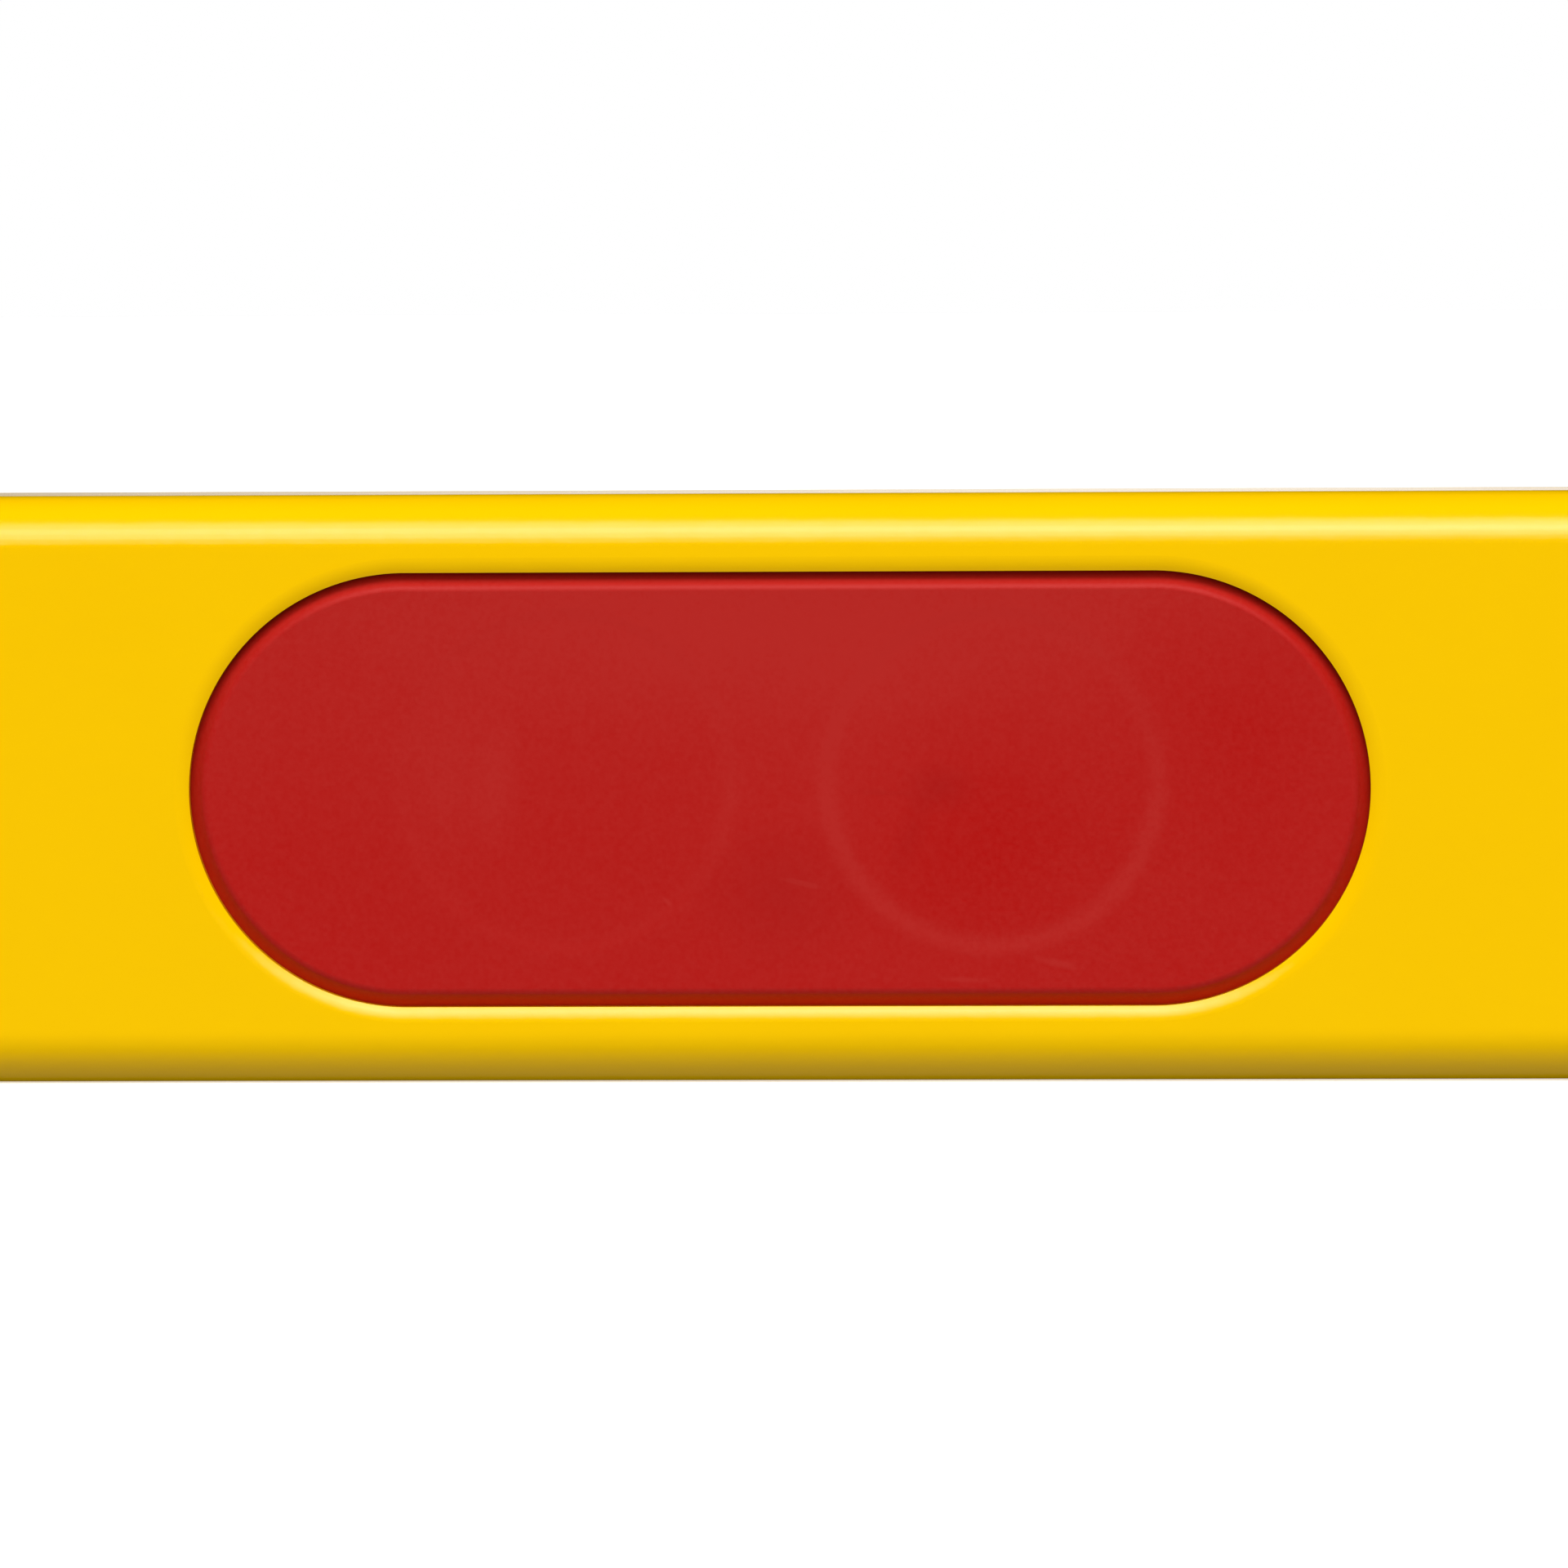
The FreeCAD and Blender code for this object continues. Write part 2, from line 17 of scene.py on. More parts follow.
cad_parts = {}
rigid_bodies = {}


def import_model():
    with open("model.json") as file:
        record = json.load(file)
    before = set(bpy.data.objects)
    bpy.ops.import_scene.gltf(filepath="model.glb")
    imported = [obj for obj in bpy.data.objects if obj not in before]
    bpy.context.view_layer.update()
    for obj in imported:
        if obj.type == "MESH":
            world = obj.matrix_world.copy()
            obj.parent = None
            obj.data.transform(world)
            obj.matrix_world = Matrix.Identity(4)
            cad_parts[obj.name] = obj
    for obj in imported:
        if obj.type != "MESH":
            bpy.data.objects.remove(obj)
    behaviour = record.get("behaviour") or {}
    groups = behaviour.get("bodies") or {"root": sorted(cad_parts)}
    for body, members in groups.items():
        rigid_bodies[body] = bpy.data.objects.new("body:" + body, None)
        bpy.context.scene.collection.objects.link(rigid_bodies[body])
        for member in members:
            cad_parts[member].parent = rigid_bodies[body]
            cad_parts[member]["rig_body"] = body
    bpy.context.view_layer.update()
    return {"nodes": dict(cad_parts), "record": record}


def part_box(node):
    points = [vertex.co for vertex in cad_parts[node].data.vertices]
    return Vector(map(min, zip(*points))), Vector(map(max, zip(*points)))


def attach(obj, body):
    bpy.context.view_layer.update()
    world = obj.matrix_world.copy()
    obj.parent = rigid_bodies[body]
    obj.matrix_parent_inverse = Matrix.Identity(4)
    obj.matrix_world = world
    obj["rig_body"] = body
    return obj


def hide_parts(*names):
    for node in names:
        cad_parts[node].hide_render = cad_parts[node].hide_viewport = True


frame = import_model()
slot_of = {row["node"]: row["material_slot"] for row in frame["record"]["subparts"]}

# %% [markdown]
# ## Sizes
#
# Places and outer sizes are read from the frame, so a piece can't drift away from the
# part that it stands for. A few inner sizes, such as the radius of a rolled edge, can't
# be read from a box. Each is written once, in capitals, where it is first needed, as the
# maker of the part knows it.

# %% Sizes from the frame
MM = 0.001


def span(node):
    """The middle and the full size of a CAD node."""
    low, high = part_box(node)
    return (low + high) / 2, high - low


body_middle, body_size = span("body_profile")
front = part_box("body_profile")[0].y
mid_height = body_middle.z
grip_middle, grip_size = span("grip_cover_front_right")
grip_x = grip_middle.x
plumb_x = span("plumb_vial_right")[0].x
print("grip covers at x", grip_x, "and their size", tuple(grip_size))

# %% [markdown]
# ## Working by hand, in code
#
# Every new piece starts as a primitive and is shaped in edit mode, as it would be with a
# mouse. An operator works on whatever is selected, so a piece is first made the only
# selected one, and then its vertices or edges are picked by where they lie. A new piece
# has its place put into its mesh, so that its own coordinates are those of the level.

# %% Helpers that select
AXES = {"x": Vector((1, 0, 0)), "y": Vector((0, 1, 0)), "z": Vector((0, 0, 1))}
SELECT_MODES = {"verts": (True, False, False), "edges": (False, True, False)}


def only(piece):
    """Select one object and nothing else, and make it the active one."""
    bpy.ops.object.select_all(action="DESELECT")
    piece.select_set(True)
    bpy.context.view_layer.objects.active = piece


def pick(piece, kind, test):
    """In edit mode, select the verts or the edges for which the test is true."""
    bpy.context.tool_settings.mesh_select_mode = SELECT_MODES[kind]
    bpy.ops.mesh.select_all(action="DESELECT")
    shape = bmesh.from_edit_mesh(piece.data)
    for item in getattr(shape, kind):
        if test(item):
            item.select_set(True)
    shape.select_flush_mode()
    bmesh.update_edit_mesh(piece.data)


def fresh(name):
    """Name the primitive that was just added, and put its place into its mesh."""
    piece = bpy.context.object
    piece.name = piece.data.name = name
    only(piece)
    bpy.ops.object.transform_apply(location=True, rotation=True, scale=True)
    return piece


# %% [markdown]
# ## Two ways to start
#
# Nearly everything on a level is either a rounded bar or a turned shape. A bar is a cube
# at its size with its long edges bevelled. A turned shape is a disc that is extruded ring
# by ring and scaled at each ring, as on a lathe. It could be spun from an outline, but a
# spin leaves a seam and two poles to close, and the extruded disc is closed from the start.

# %% Bars and turned shapes
def bar(name, middle, size, radius, segments):
    """A bar along X whose four long edges are rounded."""
    bpy.ops.mesh.primitive_cube_add(size=1, location=middle, scale=size)
    piece = fresh(name)
    bpy.ops.object.mode_set(mode="EDIT")
    pick(piece, "edges", lambda e: abs(e.verts[0].co.x - e.verts[1].co.x) > size[0] / 2)
    bpy.ops.mesh.bevel(offset=radius, segments=segments, affect="EDGES")
    bpy.ops.object.mode_set(mode="OBJECT")
    return piece


def turned(name, axis, rings, segments):
    """A solid turned round an axis through the origin. Rings are (along, radius) pairs."""
    turns = {"x": (0, math.pi / 2, 0), "y": (math.pi / 2, math.pi / segments, 0), "z": (0, 0, 0)}
    along, radius = rings[0]
    bpy.ops.mesh.primitive_circle_add(
        vertices=segments,
        radius=radius,
        fill_type="NGON",
        location=AXES[axis] * along,
        rotation=turns[axis],
    )
    piece = fresh(name)
    bpy.ops.object.mode_set(mode="EDIT")
    bpy.ops.mesh.select_all(action="SELECT")
    for (from_along, from_radius), (along, radius) in zip(rings, rings[1:]):
        step = AXES[axis] * (along - from_along)
        grow = [1 if share else radius / from_radius for share in AXES[axis]]
        bpy.ops.mesh.extrude_region_move(TRANSFORM_OT_translate={"value": step})
        bpy.ops.transform.resize(value=grow, center_override=AXES[axis] * along)
    bpy.ops.mesh.select_all(action="SELECT")
    bpy.ops.mesh.normals_make_consistent(inside=False)
    bpy.ops.object.mode_set(mode="OBJECT")
    return piece


# %% [markdown]
# ## Obrounds, moves and copies
#
# An obround, such as the grip opening, is a turned shape whose halves are slid apart,
# which keeps its ends truly round. The same slide along Z as well gives a rectangle with
# round corners. What repeats is modelled once and copied, each copy with its own mesh.

# %% Slide, move and copy
def slide_apart(piece, reach_x, reach_z=0.0):
    """Slide the halves of a turned shape apart along X, and along Z if it has corners."""
    only(piece)
    bpy.ops.object.mode_set(mode="EDIT")
    for side in (-1, 1):
        pick(piece, "verts", lambda v: v.co.x * side > 0)
        bpy.ops.transform.translate(value=(side * reach_x, 0, 0))
        pick(piece, "verts", lambda v: v.co.z * side > 0)
        bpy.ops.transform.translate(value=(0, 0, side * reach_z))
    bpy.ops.object.mode_set(mode="OBJECT")
    return piece


def moved(piece, offset):
    """Put an offset into a piece's mesh."""
    only(piece)
    bpy.ops.transform.translate(value=offset)
    bpy.ops.object.transform_apply(location=True, rotation=False, scale=False)
    return piece


def copied(piece, name, offset=(0, 0, 0), turn=0.0):
    """A copy with its own mesh, turned about Z and then moved."""
    only(piece)
    bpy.ops.object.duplicate(linked=False)
    twin = bpy.context.object
    twin.name = twin.data.name = name
    twin.rotation_euler.z = turn
    bpy.ops.object.transform_apply(location=False, rotation=True, scale=False)
    return moved(twin, offset)


# %% [markdown]
# ## Cuts, shading and places
#
# Openings and bores are cut with the Boolean modifier, whose exact solver leaves a closed
# mesh. A cut leaves long thin faces, and smooth shading would bend the light on the flat
# ones, so their normals are weighed by area. At last the piece takes the place of its CAD
# node: it rides on that node's body, and the node is hidden.

# %% Cut, smooth and take a node's place
def carved(piece, tools, operation="DIFFERENCE"):
    """Cut tools out of a piece, or unite them with it. The tools are used up."""
    for tool in tools:
        only(piece)
        cut = piece.modifiers.new("carve", "BOOLEAN")
        cut.operation = operation
        cut.solver = "EXACT"
        cut.object = tool
        bpy.ops.object.modifier_apply(modifier=cut.name)
        bpy.data.objects.remove(tool)
    return piece


def smoothed(piece, degrees):
    """Smooth shading where faces meet gently, with flat faces kept truly flat."""
    only(piece)
    bpy.ops.object.shade_smooth_by_angle(angle=math.radians(degrees))
    weigh = piece.modifiers.new("weigh", "WEIGHTED_NORMAL")
    weigh.keep_sharp = True
    weigh.weight = 100
    bpy.ops.object.modifier_apply(modifier=weigh.name)
    return piece


def stands_for(piece, node):
    """Let a new piece take a CAD node's place and body, and hide the node."""
    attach(piece, frame["nodes"][node]["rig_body"])
    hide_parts(node)
    print(piece.name, "stands for", node, "with", len(piece.data.polygons), "faces")


# %% [markdown]
# ## The body
#
# The real body is an extruded aluminium box section. Its openings are punched, and the
# punch drags the edge of the wall inwards, which leaves a soft lip that catches the
# light. It could be bevelled after cutting, but a bevel follows every edge that the cut
# makes. So each punch is a solid that already flares like the lip, and it is cut out.
# Where the lip ends, the flare runs on and crosses the front face at a shallow angle. It
# doesn't stop exactly in the face, because a cut can fail where an edge lies in a face.

# %% The punch
ROLL_RADIUS = 3.0 * MM
ROLL_ANGLE = math.radians(28)
LIP_STEPS = 8
END_SEGMENTS = 160
CLEAR = 1 * MM
CROSS_RUN = 0.3 * MM
CROSS_RISE = 0.02 * MM


def punch(name, width, height, radius, x, z):
    """The solid that a punch removes through the front wall, flared along a rolled lip."""
    roll_width = ROLL_RADIUS * math.sin(ROLL_ANGLE)
    rings = [(CLEAR, radius)]
    for step in range(LIP_STEPS):
        angle = ROLL_ANGLE * (1 - step / LIP_STEPS)
        depth = ROLL_RADIUS * (1 - math.cos(angle))
        rings.append((front + depth, radius + roll_width - ROLL_RADIUS * math.sin(angle)))
    rings.append((front - CROSS_RISE, radius + roll_width + CROSS_RUN))
    rings.append((front - CLEAR, radius + roll_width + CROSS_RUN))
    tool = turned(name, "y", rings, END_SEGMENTS)
    slide_apart(tool, width / 2 - radius, height / 2 - radius)
    return moved(tool, (x, 0, z))


# %% Cut the openings into the box section
CORNER_RADIUS = 4.5 * MM
SIDE_WALL = 2.0 * MM
SOLE_WALL = 2.6 * MM
COVER_GAP = 0.08 * MM
PLUMB_LENGTH = 54.0 * MM
NOTCH_LENGTH = 72.0 * MM
NOTCH_DEPTH = 28.0 * MM
NOTCH_CORNER = 6.0 * MM
ROUND_STEPS = 16


def body():
    """The box section with its notch, grip openings and plumb openings."""
    section = bar("box_section", body_middle, body_size, CORNER_RADIUS, ROUND_STEPS)
    hollow_size = body_size - Vector((-2 * CLEAR, 2 * SIDE_WALL, 2 * SOLE_WALL))
    hollow = bar("hollow", body_middle, hollow_size, CORNER_RADIUS - SIDE_WALL, ROUND_STEPS)
    opening_height = grip_size.z + 2 * COVER_GAP
    openings = [(NOTCH_LENGTH, 2 * NOTCH_DEPTH, NOTCH_CORNER, 0, body_size.z)]
    for side in (-1, 1):
        for length, x in ((grip_size.x + 2 * COVER_GAP, grip_x), (PLUMB_LENGTH, plumb_x)):
            openings.append((length, opening_height, opening_height / 2, side * x, mid_height))
    tools = [hollow]
    for opening in openings:
        through_front = punch("punch", *opening)
        x = opening[3]
        tools += [through_front, copied(through_front, "rear_punch", (2 * x, 0, 0), math.pi)]
    return smoothed(carved(section, tools), 30)


box_section = body()
stands_for(box_section, "body_profile")

# %% [markdown]
# ## The grip covers
#
# Each grip opening is closed by a thin moulded cover. Its flat field rolls over into a
# straight slope that falls away to the edge, well below the lip of the hole. The slope
# turns away from the light and lies in the lip's shade, so it reads as a dark outline.
# The plate is a hair wider than its CAD node and nearly fills its opening. Behind the
# face are two round bosses, and the plastic has sunk a little over them as it cooled.
# Those sink marks are only hundredths deep, but a real dish shows them in light.

# %% Sizes of a cover
FIELD_SINK = 0.4 * MM
COVER_BACK = 2.7 * MM
SNUG = 0.075 * MM
EDGE_ROUND = 0.06 * MM
SLOPE_ANGLE = math.radians(45)
SLOPE_WIDTH = 1.25 * MM
SHOULDER_RADIUS = 0.9 * MM
BOSS_RADIUS = 14.9 * MM
BOSS_WALL = 1.4 * MM
BOSS_OFFSET = 18.1 * MM
BOSS_RISE = 0.7 * MM
SPIGOT_LENGTH = 3.0 * MM
SINK_MARK = 0.02 * MM
SLOPE_STEPS = 8


def ease(share):
    """A soft start and a soft end between 0 and 1."""
    return share * share * (3 - 2 * share)


# %% Model the face of a cover
def cover_face():
    """The plate of a cover, round the origin: slope, shoulder and field."""
    radius = grip_size.z / 2 + SNUG
    edge = front + FIELD_SINK + SLOPE_WIDTH * math.tan(SLOPE_ANGLE)
    reach = SLOPE_WIDTH + SHOULDER_RADIUS * math.tan(SLOPE_ANGLE / 2)
    rings = [(front + COVER_BACK, radius), (edge + EDGE_ROUND, radius)]
    rings.append((edge, radius - EDGE_ROUND))
    for step in range(SLOPE_STEPS + 1):
        angle = SLOPE_ANGLE * (1 - step / SLOPE_STEPS)
        sink = FIELD_SINK + SHOULDER_RADIUS * (1 - math.cos(angle))
        rings.append((front + sink, radius - reach + SHOULDER_RADIUS * math.sin(angle)))
    plate = turned("plate", "y", rings, END_SEGMENTS)
    return slide_apart(plate, (grip_size.x - grip_size.z) / 2)


def sink_mark(x):
    """The shallow dish that is taken out of the face over a boss."""
    rings = []
    for step in range(SLOPE_STEPS):
        share = step / SLOPE_STEPS
        depth = FIELD_SINK + SINK_MARK * (1 - ease(share))
        rings.append((front + depth, BOSS_RADIUS - BOSS_WALL * (1 - share)))
    rings.append((front, BOSS_RADIUS))
    return moved(turned("sink_mark", "y", rings, END_SEGMENTS), (x, 0, BOSS_RISE))


# %% Model both covers with their bosses
def grip_cover(name, bore, reach):
    """A cover round the origin, facing the front, with bosses bored to a radius."""
    cover = cover_face()
    back = front + COVER_BACK
    for x in (-BOSS_OFFSET, BOSS_OFFSET):
        rings = [(back - CLEAR, BOSS_RADIUS), (0, BOSS_RADIUS)]
        if reach:
            rings += [(0, BOSS_RADIUS - BOSS_WALL), (reach, BOSS_RADIUS - BOSS_WALL)]
        boss = moved(turned("boss", "y", rings, END_SEGMENTS), (x, 0, BOSS_RISE))
        carved(cover, [boss], "UNION")
        hole = turned("hole", "y", [(back, bore), (reach + CLEAR, bore)], END_SEGMENTS)
        carved(cover, [moved(hole, (x, 0, BOSS_RISE)), sink_mark(x)])
    cover.name = cover.data.name = name
    return smoothed(cover, 40)


front_cover = grip_cover("grip_front", BOSS_RADIUS - BOSS_WALL, 0)
rear_cover = grip_cover("grip_rear", BOSS_RADIUS - 2 * BOSS_WALL, SPIGOT_LENGTH)

# %% Copy the covers to both grips
red_pieces = []
for side, word in ((-1, "left"), (1, "right")):
    place = (side * grip_x, 0, mid_height)
    for pattern, where, turn in ((front_cover, "front", 0), (rear_cover, "rear", math.pi)):
        cover = copied(pattern, f"grip_face_{where}_{word}", place, turn)
        stands_for(cover, f"grip_cover_{where}_{word}")
        red_pieces.append(cover)
for pattern in (front_cover, rear_cover):
    bpy.data.objects.remove(pattern)

# %% [markdown]
# ## The plumb windows
#
# Each plumb station is closed by clear windows that are pressed onto a ledge. Where two
# faces share one plane, a ray can't tell which of them it meets first, and the ledge
# behind the window turns black. So the windows are turned again, with their backs a hair
# off the ledge. The front edge is eased, as on a pane that is polished by hand.

# %% Turn the windows
OFF_LEDGE = 0.03 * MM
PANE_EASE = 0.2 * MM
EASE_STEPS = 4


def pane(name, node, facing):
    """A window. It faces the front of the level at -1 and the rear at 1."""
    middle, size = span(node)
    radius = size.z / 2
    rings = [(-facing * (size.y / 2 - OFF_LEDGE), radius)]
    for step in range(EASE_STEPS + 1):
        angle = math.pi / 2 * step / EASE_STEPS
        along = size.y / 2 - PANE_EASE * (1 - math.sin(angle))
        rings.append((facing * along, radius - PANE_EASE * (1 - math.cos(angle))))
    window = turned(name, "y", rings, END_SEGMENTS)
    slide_apart(window, (size.x - size.z) / 2)
    return moved(smoothed(window, 30), middle)


panes = []
for word in ("left", "right"):
    for facing, where in ((-1, "front"), (1, "rear")):
        window = pane(f"plumb_pane_{where}_{word}", f"plumb_lens_{where}_{word}", facing)
        stands_for(window, f"plumb_lens_{where}_{word}")
        panes.append(window)

# %% [markdown]
# ## Fluids
#
# A vial is filled with a thin spirit that is dyed yellow green. It wets the bore, so
# there is no gap between them, and the bore is arched by about a tenth of a millimetre
# so that the bubble comes to rest in its middle. Each fluid is turned with that arch. It
# reaches a hair into the acrylic, because a gap would look like a layer of air.

# %% Turn the fluids
LEVEL_CAVITY = 48 * MM
LEVEL_BORE = 4.6 * MM
LEVEL_ARCH = 2000 * MM
PLUMB_CAVITY = 24 * MM
PLUMB_BORE = 4.4 * MM
PLUMB_ARCH = 1000 * MM
WET = 0.01 * MM
ARCH_STEPS = 12
FLUID_SEGMENTS = 96


def fluid(name, axis, cavity, radius, arch, middle):
    """The arched filling of a vial."""
    reach = cavity / 2 + WET
    rings = []
    for step in range(ARCH_STEPS + 1):
        along = reach * (2 * step / ARCH_STEPS - 1)
        rings.append((along, radius + WET - arch + math.sqrt(arch**2 - along**2)))
    return moved(smoothed(turned(name, axis, rings, FLUID_SEGMENTS), 30), middle)


level_axis = Vector((0, 0, span("level_vial_block")[0].z))
level_spirit = fluid("level_spirit", "x", LEVEL_CAVITY, LEVEL_BORE, LEVEL_ARCH, level_axis)
stands_for(level_spirit, "level_fluid")
spirits = [level_spirit]
for side, word in ((-1, "left"), (1, "right")):
    middle = (side * plumb_x, 0, mid_height)
    spirit = fluid(f"plumb_spirit_{word}", "z", PLUMB_CAVITY, PLUMB_BORE, PLUMB_ARCH, middle)
    stands_for(spirit, f"plumb_fluid_{word}")
    spirits.append(spirit)

# %% [markdown]
# ## Bubbles
#
# A bubble could be a hole in the fluid, but it has to slide, so it is a piece of its own
# inside the fluid. The level bubble is pressed flat under the top of its bore. It slides
# in a straight line while the bore is arched, so the film of spirit above it is thick
# enough to keep it clear of the bore at both ends. A plumb bubble fills its tube's top.

# %% Shape the level bubble
FILM = 0.22 * MM
AIR_HALF_WIDTH = 3.0 * MM
AIR_DOME = 2.0 * MM
AIR_BELLY = 0.9 * MM
AIR_SEGMENTS = 64


def level_air():
    """A bubble with a domed top that follows the bore and a flatter underside."""
    bpy.ops.mesh.primitive_uv_sphere_add(
        segments=AIR_SEGMENTS,
        ring_count=AIR_SEGMENTS // 2,
        radius=1,
        scale=(AIR_HALF_WIDTH, AIR_HALF_WIDTH, AIR_DOME),
    )
    bubble = fresh("level_air")
    bpy.ops.object.mode_set(mode="EDIT")
    pick(bubble, "verts", lambda v: v.co.z < 0)
    bpy.ops.transform.resize(value=(1, 1, AIR_BELLY / AIR_DOME), center_override=(0, 0, 0))
    bpy.ops.object.mode_set(mode="OBJECT")
    slide_apart(bubble, span("level_bubble")[1].x / 2 - AIR_HALF_WIDTH)
    rise = LEVEL_BORE - FILM - AIR_DOME
    return moved(smoothed(bubble, 60), level_axis + Vector((0, 0, rise)))


# %% Shape the plumb bubbles
PLUMB_AIR_RADIUS = 4.15 * MM
PLUMB_AIR_STEPS = 10
PLUMB_AIR_ENDS = ((-1, 2.4 * MM, 1.0), (1, 1.1 * MM, 0.5))


def plumb_air(name, node):
    """A bubble with a flat shoulder under the plug and a deeper, rounder underside."""
    middle, size = span(node)
    rings = []
    for end, depth, fullness in PLUMB_AIR_ENDS:
        arc = []
        for step in range(1, PLUMB_AIR_STEPS + 1):
            angle = math.pi / 2 * step / PLUMB_AIR_STEPS
            along = size.z / 2 - depth * (1 - math.cos(angle) ** fullness)
            arc.append((end * along, PLUMB_AIR_RADIUS * math.sin(angle) ** fullness))
        rings += arc[::-end]
    return moved(smoothed(turned(name, "z", rings, AIR_SEGMENTS), 60), middle)


level_bubble = level_air()
stands_for(level_bubble, "level_bubble")
bubbles = [level_bubble]
for word in ("left", "right"):
    bubble = plumb_air(f"plumb_air_{word}", f"plumb_bubble_{word}")
    stands_for(bubble, f"plumb_bubble_{word}")
    bubbles.append(bubble)

# %% [markdown]
# ## Finishes
#
# A finish starts from what the real one is and how it was made. Its pattern reads the
# object's own coordinates, so it stays put when the level moves. Colours are written as
# sRGB hex values, and one function turns them into the linear values of a shader. The
# scale of a noise is one over the size of its bumps, so each is written as that size.

# %% Helpers for finishes
FACTOR, COLOUR_A, COLOUR_B, MIXED = 0, 6, 7, 2


def linear(hex_colour):
    """An sRGB hex colour as a linear colour with full alpha."""
    channels = [int(hex_colour[at : at + 2], 16) / 255 for at in (1, 3, 5)]
    return [c / 12.92 if c <= 0.04045 else ((c + 0.055) / 1.055) ** 2.4 for c in channels] + [1]


def add(tree, kind, sockets=None, **fields):
    """Add a node, set its fields, and give its sockets numbers, colours or links."""
    new = tree.nodes.new("ShaderNode" + kind)
    for field, value in fields.items():
        setattr(new, field, value)
    for socket, value in (sockets or {}).items():
        if isinstance(value, bpy.types.NodeSocket):
            tree.links.new(value, new.inputs[socket])
        else:
            new.inputs[socket].default_value = value
    return new


def finish(name, sockets):
    """A material, its nodes, its main shader and the object's own coordinates."""
    material = bpy.data.materials.new(name)
    material.use_nodes = True
    tree = material.node_tree
    shader = tree.nodes["Principled BSDF"]
    for socket, value in sockets.items():
        shader.inputs[socket].default_value = value
    return material, tree, shader, add(tree, "TexCoord").outputs["Object"]


# %% [markdown]
# ## Powder coat
#
# The aluminium is sprayed with dry traffic-yellow powder, which melts in an oven into a
# smooth thick gloss. It flows into a faint orange peel whose bumps are about 1.5 mm
# apart, and over it lies a much finer grain. The grain of a real coat, about 0.05 mm, is
# too fine to show here, so it is drawn at 0.3 mm.

# %% Make the powder coat
PEEL = 1.5 * MM
PEEL_HEIGHT = 0.02 * MM
COAT_GRAIN = 0.3 * MM
COAT_GRAIN_HEIGHT = 0.003 * MM
COAT_CLOUD = 14 * MM


def powder_coat():
    """Gloss yellow powder coat with orange peel."""
    material, tree, shader, place = finish(
        "traffic_yellow_powder_coat", {"Roughness": 0.1, "IOR": 1.5}
    )
    cloud = add(tree, "TexNoise", {"Vector": place, "Scale": 1 / COAT_CLOUD, "Detail": 3})
    tone = add(
        tree,
        "Mix",
        {
            FACTOR: cloud.outputs["Fac"],
            COLOUR_A: linear("#f7c200"),
            COLOUR_B: linear("#f9c500"),
        },
        data_type="RGBA",
    )
    tree.links.new(tone.outputs[MIXED], shader.inputs["Base Color"])
    peel = add(tree, "TexNoise", {"Vector": place, "Scale": 1 / PEEL, "Detail": 1})
    grain = add(tree, "TexNoise", {"Vector": place, "Scale": 1 / COAT_GRAIN, "Detail": 1})
    waves = add(tree, "Bump", {"Height": peel.outputs["Fac"], "Distance": PEEL_HEIGHT})
    fine = add(
        tree,
        "Bump",
        {
            "Height": grain.outputs["Fac"],
            "Distance": COAT_GRAIN_HEIGHT,
            "Normal": waves.outputs["Normal"],
        },
    )
    tree.links.new(fine.outputs["Normal"], shader.inputs["Normal"])
    return material


yellow = powder_coat()
print(yellow.name, "has", len(yellow.node_tree.nodes), "nodes")

# %% [markdown]
# ## The skin of red ABS
#
# The covers and housings are injection moulded in red ABS with a satin spark-eroded
# texture. Over each boss the face has sunk into a shallow dish, and a painted sheen is
# drawn along its edge as a pale ring, where light from above would catch the dish. That
# ring is worked out from the distance to the nearest boss. Folding X about the middle of
# the level gives both ends at once, and then folding it about the middle of a cover gives
# both of its bosses. The painted sheen is strongest low down and towards the end of the
# level.

# %% The painted sheen ring over each boss
# Painted sheen: a pale ring along each sink mark, strongest low down.
RING_MIDDLE = 14.05 * MM
RING_REACH = 1.5 * MM
RING_FAINT = 0.2
FAINT_ABOVE = 12 * MM
FULL_BELOW = -4 * MM
FAINT_INSIDE = -8 * MM
FULL_OUTSIDE = 4 * MM


def ring_weight(tree, above, across):
    """The painted sheen's strength: full low down and outwards, faint high up and inwards."""
    low = {"Value": above, "From Min": FAINT_ABOVE, "From Max": FULL_BELOW}
    outer = {"Value": across, "From Min": FAINT_INSIDE, "From Max": FULL_OUTSIDE}
    weights = []
    for sockets in (low, outer):
        faded = add(tree, "MapRange", {**sockets, "To Min": RING_FAINT, "To Max": 1})
        weights.append(faded.outputs[0])
    return add(tree, "Math", {0: weights[0], 1: weights[1]}, operation="MULTIPLY").outputs[0]


